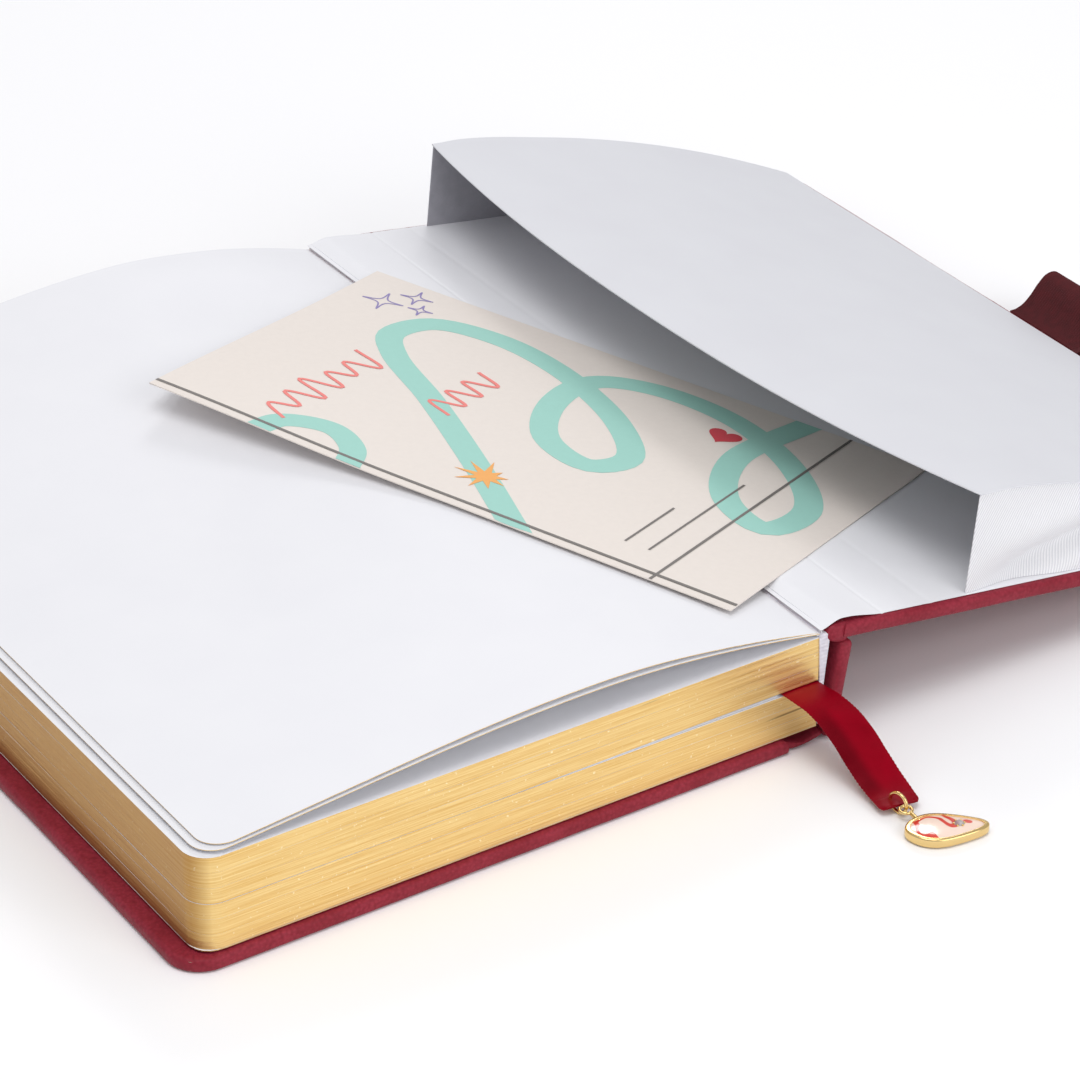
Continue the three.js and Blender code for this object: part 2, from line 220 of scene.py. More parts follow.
for i, point in enumerate(ribbon_line):
    turned = min(max((RIBBON_TURN_START - point.y) / RIBBON_TURN_RUN, 0), 1)
    along = (ribbon_line[min(i + 1, RIBBON_STEPS)] - ribbon_line[max(i - 1, 0)]).normalized()
    across = Vector((1, RIBBON_TURN * turned, 0))
    across = (across - along * across.dot(along)).normalized()
    lift = across.cross(along)
    if lift.z < 0:
        lift = -lift
    to_end = ribbon_length - i * step
    # The hemmed end is cut with rounded corners, and the selvedges have small picots.
    rounding = 1 - 0.16 * max(0, 1 - to_end / CUT_CORNER) ** 2
    picot = PICOT_DEPTH * math.cos(math.tau * i * step / PICOT_PITCH) if turned > 0.1 else 0
    hem = 1.7 if to_end < HEM_LENGTH else 1
    # Outside the book the ribbon cups a little along its middle.
    cup = 0.55 * turned * (1 - 0.5 * turned)
    ring = []
    for side in (0.5, -0.5):
        for share in (ACROSS if side > 0 else reversed(ACROSS)):
            half = share * (RIBBON_WIDTH * rounding + 2 * picot)
            height = cup * (1 - (2 * share) ** 2) - cup / 2
            thickness = RIBBON_THICKNESS * hem * (1 - 0.6 * abs(2 * share) ** 6)
            ring.append(bm.verts.new(point + across * half + lift * (height + side * thickness)))
    rings.append(ring)
for i, (a, b) in enumerate(zip(rings, rings[1:])):
    for k in range(len(a)):
        n = (k + 1) % len(a)
        face = bm.faces.new((a[k], a[n], b[n], b[k]))
        for loop, (u, v) in zip(face.loops, ((k, i), (k + 1, i), (k + 1, i + 1), (k, i + 1))):
            loop[ribbon_uv].uv = (u / len(a), v * step / RIBBON_WIDTH / 2)
bm.faces.new(rings[0])
bm.faces.new(list(reversed(rings[-1])))
bmesh.ops.recalc_face_normals(bm, faces=bm.faces)
def add_node(kind, inputs, **settings):
    """Adds a node to the material that its linked inputs belong to, and returns its outputs."""
    linked = next(value for value in inputs.values() if isinstance(value, bpy.types.NodeSocket))
    new = linked.id_data.nodes.new(kind)
    for name, value in settings.items():
        setattr(new, name, value)
    set_inputs(new, inputs)
    return new.outputs


def add_noise(place, scale, detail, roughness=0.5):
    return add_node("ShaderNodeTexNoise", {"Vector": place, "Scale": scale, "Detail": detail,
                                           "Roughness": roughness})["Fac"]


def add_wave(place, pitch, direction, distortion, detail=2):
    """Straight bands one pitch apart, which distortion makes waver."""
    return add_node("ShaderNodeTexWave", {"Vector": place, "Scale": math.tau / 20 / pitch,
                                          "Distortion": distortion, "Detail": detail},
                    bands_direction=direction)["Fac"]


def add_math(operation, first, second):
    return add_node("ShaderNodeMath", {0: first, 1: second}, operation=operation)["Value"]


def map_range(value, low, high, to_low=0, to_high=1, **settings):
    return add_node("ShaderNodeMapRange",
                    {"Value": value, "From Min": low, "From Max": high, "To Min": to_low,
                     "To Max": to_high}, **settings)["Result"]


def mix_tones(factor, first, second, **settings):
    """A mix of two colours, each given in hex, as numbers or as another node's output."""
    a, b = (linear(tone) if isinstance(tone, str) else tone for tone in (first, second))
    return add_node("ShaderNodeMix", {"Factor": factor, "A": a, "B": b}, data_type="RGBA",
                    **settings)["Result"]


def add_bump(height, strength, distance, over=None):
    """A surface raised by a texture, over another bump where one is given."""
    inputs = {"Height": height, "Strength": strength, "Distance": distance}
    if over is not None:
        inputs["Normal"] = over
    return add_node("ShaderNodeBump", inputs)["Normal"]


# Satin: long warp floats lie side by side, so it shines along a band and darkens off it. The weft
# shows as fine cross lines.
WEFT_PITCH = 0.3
satin, shader, place = start_material("satin_ribbon", 0.34)
uv_map = place.id_data.nodes.new("ShaderNodeUVMap")
uv_map.uv_map = "ribbon"
uv = uv_map.outputs["UV"]
tone = mix_tones(add_noise(place, 160, 3), "#6e000d", "#93001a")
# Outside the book its near third is painted darker, down to the hem: painted shade where the satin
# folds away from the light.
ribbon_place = add_node("ShaderNodeSeparateXYZ", {"Vector": uv})
near_side_painted_shade = map_range(ribbon_place["X"], 0.1, 0.23, 0.8, 0, interpolation_type="SMOOTHSTEP")
shade_start = map_range(ribbon_place["Y"], 11.4, 11.8, interpolation_type="SMOOTHSTEP")
shade_end = map_range(ribbon_place["Y"], 12.5, 12.8, 1, 0, interpolation_type="SMOOTHSTEP")
shade = add_math("MULTIPLY", add_math("MULTIPLY", shade_start, shade_end), near_side_painted_shade)
set_inputs(shader, {
    "Base Color": mix_tones(shade, tone, "#4c0007"),
    "Normal": add_bump(add_wave(uv, WEFT_PITCH / RIBBON_WIDTH / 2, "Y", 0.4), 0.35, 0.00004),
    "Anisotropic": 0.5,
    "Sheen Weight": 0.03,
    "Sheen Tint": linear("#ff2035"),
    "Specular IOR Level": 0.35,
    "Specular Tint": linear("#ff5064"),
})
ribbon = add_piece("satin_ribbon", bm, book_frame, [satin])
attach(ribbon, "text_block")
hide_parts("ribbon")


# Jump ring and charm: a plated brass ring joins the ribbon's end to a leaf-shaped gilt charm with
# a poured enamel field, coral veins and a clear stone in a claw setting.
RING_RADIUS = 2.3
RING_WIRE = 0.4
RING_CENTRE = (154.24, -29.98, 2.75)
RING_HEADING = math.radians(-80)
RING_SPAN = 4.4
CHARM_CENTRE = (158, -41.8, 0.3)
CHARM_HEADING = math.radians(-25.8)
LEAF_POINTS = 64

ring_place = Matrix.Translation(RING_CENTRE) @ Matrix.Rotation(RING_HEADING, 4, "Z")
charm_place = Matrix.Translation(CHARM_CENTRE) @ Matrix.Rotation(CHARM_HEADING, 4, "Z")
charm_frame = book_frame @ charm_place

# Gold plate on brass: bright, with tumbling marks about half a millimetre across.
gold, shader, place = start_material("gold_plated_brass", 0.2, 1.0)
set_inputs(shader, {"Base Color": linear("#e8c98a"),
                    "Normal": add_bump(add_noise(place, 2000, 3), 0.25, 0.00005)})


def add_wire_ring(bm, centre, radius, wire, sides, steps):
    """A ring of round wire, lying flat about its centre."""
    bmesh.ops.create_circle(bm, segments=sides, radius=wire,
                            matrix=Matrix.Translation(centre + Vector((radius, 0, 0)))
                            @ Matrix.Rotation(math.pi / 2, 4, "X"))
    edges = [e for e in bm.edges if not e.link_faces]
    points = list({v for e in edges for v in e.verts})
    bmesh.ops.spin(bm, geom=points + edges, cent=centre, axis=(0, 0, 1), angle=math.tau,
                   steps=steps, use_merge=True)
    bmesh.ops.remove_doubles(bm, verts=bm.verts, dist=1e-4)


bm = bmesh.new()
add_wire_ring(bm, Vector((0, 0, 0)), RING_RADIUS, RING_WIRE, 16, 48)
bmesh.ops.recalc_face_normals(bm, faces=bm.faces)
bm.transform(ring_place @ Matrix.Rotation(math.pi / 2, 4, "X"))
ring = add_piece("jump_ring", bm, book_frame, [gold])
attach(ring, "ring")
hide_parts("ribbon_ring")


def extrude_face(bm, face, move, share=1, keep=False):
    """Moves a face, shrunk to a share of its size, with walls behind it, and returns it. The face
    that it leaves is kept only where that closes the piece."""
    raised = bmesh.ops.extrude_face_region(bm, geom=[face])["geom"]
    if not keep:
        bmesh.ops.delete(bm, geom=[face], context="FACES_ONLY")
    moved = [v for v in raised if isinstance(v, bmesh.types.BMVert)]
    bmesh.ops.scale(bm, vec=(share, share, 1), verts=moved)
    bmesh.ops.translate(bm, vec=move, verts=moved)
    return next(f for f in raised if isinstance(f, bmesh.types.BMFace))


def round_edges(bm, edges, radius, segments):
    bmesh.ops.bevel(bm, geom=edges, offset=radius, offset_type="OFFSET", segments=segments,
                    profile=0.5, affect="EDGES", clamp_overlap=True, material=-1)


def level_edges(bm):
    return [e for e in bm.edges if abs(e.verts[0].co.z - e.verts[1].co.z) < 1e-6]


def leaf_plate(half_length, half_width, low, high):
    """A closed leaf-shaped plate, blunt at its stalk and drawn out to a tip."""
    bm = bmesh.new()
    rim = []
    for i in range(LEAF_POINTS):
        angle = math.tau * i / LEAF_POINTS
        taper = 0.5 + 0.5 * math.cos(angle)
        width = half_width * math.sin(angle) * (1.12 - 0.45 * taper ** 2)
        lobes = 1 + 0.07 * math.cos(3 * angle)
        rim.append(bm.verts.new((half_length * math.cos(angle), width * lobes, low)))
    extrude_face(bm, bm.faces.new(rim), (0, 0, high - low), keep=True)
    bmesh.ops.recalc_face_normals(bm, faces=bm.faces)
    return bm


def top_face(bm):
    return max(bm.faces, key=lambda face: (round(face.calc_center_median().z, 4), face.calc_area()))


bm = leaf_plate(9, 4.7, 0, 2.2)
round_edges(bm, level_edges(bm), 0.45, 3)
rim_face = extrude_face(bm, top_face(bm), (0, 0, 0), 0.93)
extrude_face(bm, rim_face, (0, 0, -0.7))
eye = charm_place.inverted() @ (ring_place @ Vector((RING_SPAN / 2, 0, 0)))
eye.z = 1.75
add_wire_ring(bm, eye, 1.35, 0.36, 12, 28)
neck_start = eye + (Vector((-4, 2.6, 1.75)) - eye).normalized() * 1.3
neck_end = Vector((-5, 2.4, 1.3))
neck_run = neck_end - neck_start
bmesh.ops.create_cone(bm, cap_ends=True, segments=14, radius1=0.42, radius2=0.75,
                      depth=neck_run.length,
                      matrix=Matrix.Translation((neck_start + neck_end) / 2)
                      @ neck_run.to_track_quat("Z", "Y").to_matrix().to_4x4())
bmesh.ops.recalc_face_normals(bm, faces=bm.faces)
charm = add_piece("charm_setting", bm, charm_frame, [gold], sharp=50)
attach(charm, "charm")
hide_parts("charm_plate")


def add_ramp(factor, *stops):
    """Two colours, each reached at its own value of the factor."""
    ramp = add_node("ShaderNodeValToRGB", {"Fac": factor})["Color"]
    for element, (position, colour) in zip(ramp.node.color_ramp.elements, stops):
        element.position = position
        element.color = linear(colour)
    return ramp


# Poured enamel: glassy, blush cream, with coral veins that follow the leaf.
enamel, shader, place = start_material("poured_enamel", 0.12)
veins = add_node("ShaderNodeTexWave", {"Vector": place, "Scale": 26, "Distortion": 9, "Detail": 1,
                                       "Detail Scale": 6})["Fac"]
set_inputs(shader, {"Base Color": add_ramp(veins, (0.86, "#f6dccb"), (0.93, "#d8412f")),
                    "Coat Weight": 0.6, "Coat Roughness": 0.05})
bm = leaf_plate(8.1, 4.1, 1.45, 1.85)
dome = top_face(bm)
for share, lift in ((0.93, 0.16), (0.86, 0.12), (0.72, 0.08), (0.5, 0.03)):
    dome = extrude_face(bm, dome, (0, 0, lift), share)
poured = add_piece("charm_enamel_field", bm, charm_frame, [enamel], sharp=60)
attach(poured, "charm")
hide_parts("charm_enamel")

# A round-cut clear stone held by six small claws.
stone_glass, shader, place = start_material("clear_glass_stone", 0.03)
facets = add_node("ShaderNodeTexVoronoi", {"Vector": place, "Scale": 1600})["Distance"]
set_inputs(shader, {"Base Color": linear("#e4eef4"), "Transmission Weight": 0.7, "IOR": 1.52,
                    "Normal": add_bump(facets, 0.2, 0.00004)})
STONE_PLACE = Vector((2.6, 0.4, 2.25))
bm = bmesh.new()
bmesh.ops.create_cone(bm, cap_ends=True, segments=10, radius1=1.15, radius2=0.6, depth=0.5,
                      matrix=Matrix.Translation(STONE_PLACE + Vector((0, 0, 0.25))))
girdle = min(bm.faces, key=lambda face: face.calc_center_median().z)
bmesh.ops.inset_region(bm, faces=[girdle], thickness=0.8, use_even_offset=True)
bmesh.ops.translate(bm, vec=(0, 0, -0.4), verts=girdle.verts)
stone = add_piece("charm_round_stone", bm, charm_frame, [stone_glass], sharp=5)
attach(stone, "charm")
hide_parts("charm_stone")
bm = bmesh.new()
for i in range(6):
    angle = math.tau * i / 6
    claw = STONE_PLACE + Vector((1.12 * math.cos(angle), 1.12 * math.sin(angle), 0.1))
    bmesh.ops.create_icosphere(bm, subdivisions=2, radius=0.27, matrix=Matrix.Translation(claw))
claws = add_piece("charm_claws", bm, charm_frame, [gold])
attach(claws, "charm")


# Case of the front cover: dyed smooth-grain leather pasted over grey board, turned in all round
# and pleated at the corners, with the board showing inside until the pastedown covers it.
COVER_HEIGHT = 216
FRONT_WIDTH = 148
COVER_THICKNESS = 3.4
COVER_CORNER = 8
LEATHER_THICKNESS = 0.5
EDGE_RADIUS = 1.2
TURN_IN = 5.2


def leaf_face(fore, spine, tail, head, height, corner, segments=10):
    """A bmesh of one flat leaf whose two corners at the fore-edge are rounded."""
    bm = bmesh.new()
    corners = [bm.verts.new(p) for p in ((spine, tail, height), (fore, tail, height),
                                         (fore, head, height), (spine, head, height))]
    bm.faces.new(corners if fore > spine else corners[::-1])
    bmesh.ops.bevel(bm, geom=corners[1:3], offset=corner, offset_type="OFFSET", segments=segments,
                    profile=0.5, affect="VERTICES", material=-1)
    return bm


def cut_long_edges(bm, cuts):
    edges = [e for e in bm.edges if e.calc_length() > 20]
    bmesh.ops.subdivide_edges(bm, edges=edges, cuts=cuts)


def leather_case(width, bottom):
    """Leather over a board: a shell with soft edges, open where the board shows inside. Its
    fore-edge is at X 0 and its spine side at X width."""
    bm = leaf_face(0, width, 0, COVER_HEIGHT, bottom, COVER_CORNER, 24)
    cut_long_edges(bm, 44)
    extrude_face(bm, bm.faces[:][0], (0, 0, COVER_THICKNESS), keep=True)
    round_edges(bm, level_edges(bm), EDGE_RADIUS, 5)
    bmesh.ops.recalc_face_normals(bm, faces=bm.faces)
    inner = max(bm.faces, key=lambda face: face.calc_center_median().z)
    outer = min(bm.faces, key=lambda face: face.calc_center_median().z)
    bmesh.ops.inset_region(bm, faces=[outer], thickness=1.2, use_even_offset=True)
    bmesh.ops.inset_region(bm, faces=[inner], thickness=TURN_IN / 2, use_even_offset=True)
    bmesh.ops.inset_region(bm, faces=[inner], thickness=TURN_IN / 2, use_even_offset=True)
    bmesh.ops.delete(bm, geom=[inner], context="FACES_ONLY")
    for v in bm.verts:
        # The leather stretched by hand never lies quite straight, and is pleated at the corners.
        wave = noise.noise_vector(v.co * 0.06) * 0.09 + noise.noise_vector(v.co * 0.35) * 0.035
        v.co += wave
        from_fore = v.co.x - COVER_CORNER
        from_end = min(v.co.y, COVER_HEIGHT - v.co.y) - COVER_CORNER
        if from_fore < 0 and from_end < 0 and v.co.z > bottom + COVER_THICKNESS - 0.25:
            angle = math.atan2(from_end, from_fore)
            v.co.z -= 0.22 * abs(math.sin(14 * angle)) ** 0.7
    return bm


# Smooth-grain calf, aniline dyed: a fine 0.7 mm pebble with softer creases 4 mm apart, and dye
# that pools a little darker in the hollows.
calf, shader, place = start_material("dyed_calf_leather", 0.46)
pebble = add_node("ShaderNodeTexVoronoi", {"Vector": place, "Scale": 1 / 0.0007},
                  feature="SMOOTH_F1")["Distance"]
crease = add_noise(place, 1 / 0.004, 5, 0.6)
dye = add_ramp(add_noise(place, 90, 4), (0.36, "#8c2835"), (0.64, "#9b3141"))
set_inputs(shader, {
    "Base Color": mix_tones(pebble, dye, "#741b28"),
    "Normal": add_bump(add_math("SUBTRACT", crease, pebble), 0.55, 0.00009),
    "Roughness": map_range(crease, 0, 1, 0.38, 0.58),
    "Specular IOR Level": 0.16,
})

# Grey board: pressed from waste paper, with short flecks of fibre.
greyboard, shader, place = start_material("pressed_grey_board", 0.9)
fleck = add_noise(place, 1 / 0.0012, 4)
set_inputs(shader, {"Base Color": mix_tones(fleck, "#86796a", "#b3a899")})


# Wove paper, slightly blue white, calendered smooth: only a faint cloud of fibres shows.
def paper_stock(name, shade, light):
    """Paper of one making, clouded between its two shades."""
    material, shader, place = start_material(name, 0.62)
    set_inputs(shader, {
        "Base Color": mix_tones(add_noise(place, 55, 3), shade, light),
        "Normal": add_bump(add_noise(place, 1 / 0.0008, 5, 0.7), 0.12, 0.00003),
        "Specular IOR Level": 0.3,
    })
    return material


wove = paper_stock("wove_paper", "#e5e5e9", "#eaeaed")
stiff_paper = paper_stock("stiff_pocket_paper", "#d5d5da", "#dadbdf")


def thicken(piece, thickness, offset=-1.0, rim_material=0, back_material=0):
    """Gives a sheet or a shell its real thickness."""
    wall = piece.modifiers.new("thickness", "SOLIDIFY")
    wall.thickness = thickness * MILLIMETRE
    wall.offset = offset
    wall.use_even_offset = False
    wall.material_offset_rim = rim_material
    wall.material_offset = back_material


front_case = add_piece("front_cover_case", leather_case(FRONT_WIDTH, 0), book_frame, [calf])
thicken(front_case, LEATHER_THICKNESS)
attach(front_case, "front_cover")
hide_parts("front_cover_leather")
for node in ("front_board", "spine_board", "back_board"):
    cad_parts[node].data.materials.clear()
    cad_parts[node].data.materials.append(greyboard)

bm = leaf_face(5.4, 148, 3.4, COVER_HEIGHT - 3.4, 3.45, 6)
pastedown = add_piece("front_endpaper", bm, book_frame, [wove])
thicken(pastedown, 0.2, offset=1.0)
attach(pastedown, "front_cover")
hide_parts("front_pastedown")


# Front joint: the single leather that runs on from the front board under the pages to the spine,
# pressed into a groove beside the board so that it can bend.
def long_strip(profile, tail, head, pieces, wobble=0.1):
    """A closed strip of the given X-Z profile, running from tail to head with a slight waver."""
    bm = bmesh.new()
    face = bm.faces.new([bm.verts.new((x, tail, z)) for x, z in profile])
    step = (head - tail) / pieces
    for i in range(pieces):
        face = extrude_face(bm, face, (0, step, 0), keep=i == 0)
    for v in bm.verts:
        shift = noise.noise_vector(Vector((v.co.x * 0.1, v.co.y * 0.16, v.co.z * 0.1))) * wobble
        v.co += Vector((shift.x, 0, shift.z))
    bmesh.ops.recalc_face_normals(bm, faces=bm.faces)
    return bm


def soften(piece, levels):
    """Rounds a piece by subdivision."""
    rounding = piece.modifiers.new("rounding", "SUBSURF")
    rounding.levels = levels
    rounding.render_levels = levels


FRONT_JOINT = [
    (146.9, 0.5), (149.2, 0.15), (152, 0.1), (155.2, 0.5), (158.2, 1.0), (159.4, 1.5),
    (158.0, 2.3), (155.2, 2.2), (152.6, 1.6), (150.4, 1.5), (148.6, 2.4), (146.9, 2.8),
]
front_joint = add_piece("front_joint_strip", long_strip(FRONT_JOINT, 0.4, 215.6, 54, 0.25),
                        book_frame, [calf], sharp=70)
soften(front_joint, 2)
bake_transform(front_joint)
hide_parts("front_joint_leather")


# Pages: six sewn sections of wove paper in two halves, cut flush and gilded on three edges. The
# ribbon parts the halves, so a thin pale gap opens between them towards the spine.
FORE_EDGE = 4.2
SPINE_EDGE = 156.2
TAIL_EDGE = 1.5
HEAD_EDGE = 213.5
PAGE_CORNER = 6
BLOCK_BOTTOM = 4.05
GAP_BOTTOM = 14.6
GAP_TOP = 15.6
BLOCK_TOP = 26.3
SHOWN_LEAVES = 11
GAP_OPENS_AT = 60


def page_section(bottom, top, seed):
    """A stack of leaves, each set in or out a little where the knife and the gold left it."""
    bm = leaf_face(FORE_EDGE, SPINE_EDGE, TAIL_EDGE, HEAD_EDGE, bottom, PAGE_CORNER, 14)
    cut_long_edges(bm, 40)
    face = bm.faces[:][0]
    for i in range(SHOWN_LEAVES):
        face = extrude_face(bm, face, (0, 0, (top - bottom) / SHOWN_LEAVES), keep=i == 0)
    middle = Vector(((FORE_EDGE + SPINE_EDGE) / 2, (TAIL_EDGE + HEAD_EDGE) / 2, 0))
    for v in bm.verts:
        layer = round((v.co.z - bottom) / (top - bottom) * SHOWN_LEAVES)
        reach = v.co - middle
        reach.z = 0
        ragged = noise.noise(Vector((v.co.x * 0.02, v.co.y * 0.02, layer * 7.3 + seed * 31)))
        v.co -= reach.normalized() * (0.05 + 0.09 * ragged)
        opening = min(max((v.co.x - GAP_OPENS_AT) / (SPINE_EDGE - GAP_OPENS_AT), 0), 1)
        closing = 0.46 * (1 - opening * opening * (3 - 2 * opening))
        if seed <= 3:
            v.co.z += closing * (v.co.z - BLOCK_BOTTOM) / (GAP_BOTTOM - BLOCK_BOTTOM)
        else:
            v.co.z -= closing * (BLOCK_TOP - v.co.z) / (BLOCK_TOP - GAP_TOP)
    bmesh.ops.recalc_face_normals(bm, faces=bm.faces)
    for f in bm.faces:
        f.material_index = 1 if abs(f.normal.z) > 0.9 else 0
    return bm


# Burnished gold leaf over trimmed paper: bright metal broken into fine page streaks about a
# quarter of a millimetre thick, with pale flecks painted in as glints and a few open creases.
gilt, shader, place = start_material("gilt_page_edges", 0.36, 0.88)
stretched = add_node("ShaderNodeMapping", {"Vector": place, "Scale": (45, 45, 3600)})["Vector"]
streak = add_noise(stretched, 1, 4, 0.65)
leaf_tone = add_ramp(streak, (0.3, "#e0b467"), (0.66, "#f8dc9c"))
# Pale flecks: painted glints in the colour, over a fine bump of their own.
fleck = add_noise(place, 1 / 0.0009, 2)
glint_painted = mix_tones(map_range(fleck, 0.68, 0.76), leaf_tone, "#fff0c8")
creased = add_node("ShaderNodeMapping", {"Vector": place, "Scale": (22, 22, 420)})["Vector"]
crease_mask = map_range(add_noise(creased, 1, 1), 0.735, 0.76, 0, 0.7)
edged = mix_tones(crease_mask, glint_painted, "#6b4a22")
# Painted shade: the fore-edge lies in shade, so its gold is multiplied browner and darker than the
# head and the tail.
brown, plain = ((book_frame @ Vector((FORE_EDGE + inset, 0, 0))).x for inset in (0.5, 3.5))
across_book = add_node("ShaderNodeSeparateXYZ", {"Vector": place})["X"]
fore_edge_painted_shade = map_range(across_book, brown, plain, 1, 0)
set_inputs(shader, {
    "Base Color": mix_tones(fore_edge_painted_shade, edged, "#c9b8a6", blend_type="MULTIPLY"),
    "Roughness": map_range(streak, 0, 1, 0.28, 0.5),
    "Normal": add_bump(fleck, 0.35, 0.00005, over=add_bump(streak, 0.5, 0.00006)),
})

# The flyleaf was gilded along with the sections.
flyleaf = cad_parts["front_flyleaf"]
flyleaf.data.materials.clear()
flyleaf.data.materials.append(wove)
flyleaf.data.materials.append(gilt)
for polygon in flyleaf.data.polygons:
    polygon.material_index = 1 if abs(polygon.normal.z) < 0.5 else 0

for half, (low, high, body) in enumerate(((BLOCK_BOTTOM, GAP_BOTTOM, "front_pages"),
                                          (GAP_TOP, BLOCK_TOP, "text_block"))):
    pitch_up = (high - low) / 3
    for i in range(3):
        number = 3 * half + i + 1
        section = add_piece(f"sewn_section_{number}",
                            page_section(low + i * pitch_up, low + (i + 1) * pitch_up - 0.03,
                                         number), book_frame, [gilt, wove], sharp=60)
        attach(section, body)
        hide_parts(f"page_section_{number}")

# The leaves that the ribbon lies against, seen as the pale line in the gap.
bm = leaf_face(FORE_EDGE + 0.5, 145.6, TAIL_EDGE + 0.35, HEAD_EDGE - 0.35, 14.95, PAGE_CORNER)
parted = add_piece("parted_leaves", bm, book_frame, [wove])
thicken(parted, 0.3, offset=0.0)
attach(parted, "text_block")


# Last two leaves: loose at the fore-edge and gilded with the rest, they spring up in an arch from
# the gutter because the open cover pulls on them.
def cut_grid(bm, across, along):
    """Cuts a flat leaf into cells by straight cuts at the given X and Y places."""
    for normal, places in ((Vector((1, 0, 0)), across), (Vector((0, 1, 0)), along)):
        for where in places:
            bmesh.ops.bisect_plane(bm, geom=bm.verts[:] + bm.edges[:] + bm.faces[:], dist=1e-4,
                                   plane_co=normal * where, plane_no=normal)


def ease(low, high, value):
    share = min(max((value - low) / (high - low), 0), 1)
    return share * share * (3 - 2 * share)


GUTTER = 157.2
ARCH_CREST = 98


def arch_height(x, y, rise_at_tail, rise_at_head, lift):
    """The height of an arched leaf over the book's X and Y."""
    along = y / COVER_HEIGHT
    rise = rise_at_tail + (rise_at_head - rise_at_tail) * along
    if x > ARCH_CREST:
        shape = math.sin(math.pi / 2 * (GUTTER - x) / (GUTTER - ARCH_CREST)) ** 0.92
    else:
        shape = math.cos(math.pi / 2 * (ARCH_CREST - x) / (ARCH_CREST - FORE_EDGE)) ** 1.25
    sag = 3.2 * math.exp(-((x - 66) / 38) ** 2 - ((y - 118) / 52) ** 2)
    height = BLOCK_TOP + 0.45 + lift * ease(60, 5, x) + (rise - sag * rise / 8) * max(shape, 0)
    # The card presses the leaves down to the plane of the cover that carries it.
    card_plane = HINGE[2] + (HINGE[0] - x) * math.tan(COVER_TILT) + 2.6 * ease(186, 213, y)
    over = height - (card_plane + lift * 0.3 - 1.3)
    return height - (over * over / 2.4 if 0 < over < 1.2 else over - 0.6 if over >= 1.2 else 0)


for name, node, fore, tail, rise_tail, rise_head, lift in (
        ("last_leaf", "back_leaf_upper", 7.6, 2.2, 7.7, 11.2, 0.75),
        ("leaf_before_last", "back_leaf_lower", 6.0, 1.8, 6.4, 9.8, 0.2)):
    bm = leaf_face(fore, GUTTER, tail, HEAD_EDGE + 0.3, 0, PAGE_CORNER, 12)
    cut_grid(bm, range(9, 157, 3), range(5, 213, 6))
    for v in bm.verts:
        ripple = 0.1 * noise.noise(Vector((v.co.x * 0.03, v.co.y * 0.03, 3)))
        v.co.z = arch_height(v.co.x, v.co.y, rise_tail, rise_head, lift) + ripple
    leaf = add_piece(name, bm, book_frame, [wove, gilt])
    thicken(leaf, 0.16, offset=0.0, rim_material=1)
    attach(leaf, "text_block")
    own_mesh(leaf)
    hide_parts(node)


# Spine of the pages: mull and lining paper glued over the sewn folds, swollen towards the back
# cover where the open joint has pulled it.
lining_cloth, shader, place = start_material("mull_and_glue", 0.85)
fuzz = add_noise(place, 1 / 0.0012, 4)
set_inputs(shader, {"Base Color": mix_tones(fuzz, "#b9b5c4", "#f0eef4"),
                    "Normal": add_bump(add_wave(place, 0.0009, "Z", 3), 0.6, 0.0001)})
LINING = [
    (156.15, 4.2), (156.9, 4.1), (157.1, 8), (157.25, 12), (157.8, 18), (158.6, 23.5),
    (158.9, 26.2), (158.0, 27.1), (156.6, 27.1), (156.15, 26.2), (156.15, 16),
]
lining = add_piece("mull_lining", long_strip(LINING, TAIL_EDGE - 0.2, HEAD_EDGE + 0.2, 80, 0.5),
                   book_frame, [lining_cloth], sharp=70)
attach(lining, "text_block")
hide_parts("spine_lining")


# Spine strip: leather over a narrow board, leaning away from the pages while the book is open.
SPINE_CORNER = (157.4, 0, 0.8)
SPINE_LEAN = math.radians(9)
SPINE_LENGTH = 23.6
spine_frame = (book_frame @ Matrix.Translation(SPINE_CORNER)
               @ Matrix.Rotation(SPINE_LEAN, 4, "Y"))
bm = bmesh.new()
bmesh.ops.create_cube(bm, size=1)
bm.transform(Matrix.Translation((COVER_THICKNESS / 2, COVER_HEIGHT / 2, SPINE_LENGTH / 2))
             @ Matrix.Diagonal((COVER_THICKNESS, COVER_HEIGHT, SPINE_LENGTH, 1)))
round_edges(bm, bm.edges[:], 1.3, 5)
cut_grid(bm, [], range(4, 214, 4))
for v in bm.verts:
    v.co += noise.noise_vector(v.co * 0.08) * 0.14
spine_case = add_piece("spine_case", bm, spine_frame, [calf])
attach(spine_case, "spine")
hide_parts("spine_leather")


# Back cover: the same case as the front, hinged over the spine by its own joint.
BACK_FORE = 154.4
BACK_SPINE = 7.4
bm = leather_case(BACK_FORE - BACK_SPINE, -COVER_THICKNESS)
bm.transform(Matrix.Translation((BACK_FORE, 0, 0)) @ Matrix.Scale(-1, 4, (1, 0, 0)))
bmesh.ops.reverse_faces(bm, faces=bm.faces)
back_case = add_piece("back_cover_case", bm, cover_frame, [calf])
thicken(back_case, LEATHER_THICKNESS)
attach(back_case, "back_cover")
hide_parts("back_cover_leather")

BACK_JOINT = [
    (157.4, 25.6), (158.6, 24.3), (160.6, 23.5), (162.6, 22.9), (163.6, 23.9), (163.0, 25.0),
    (163.3, 26.0), (164.6, 26.7), (163.4, 27.5), (161.2, 27.8), (159.2, 27.9), (157.9, 27.3),
]
bm = long_strip(BACK_JOINT, 0.1, 215.9, 60, 0.12)
for v in bm.verts:
    # At its two ends the turned-in leather bunches up into a roll.
    v.co.z += 1.0 * ease(26, 27.5, v.co.z) * (ease(5, 0.5, v.co.y) + 0.6 * ease(212, 215, v.co.y))
back_joint = add_piece("back_joint_strip", bm, book_frame, [calf], sharp=70)
soften(back_joint, 2)
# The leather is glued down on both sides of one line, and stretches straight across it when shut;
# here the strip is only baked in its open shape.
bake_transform(back_joint)
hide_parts("back_joint_leather")


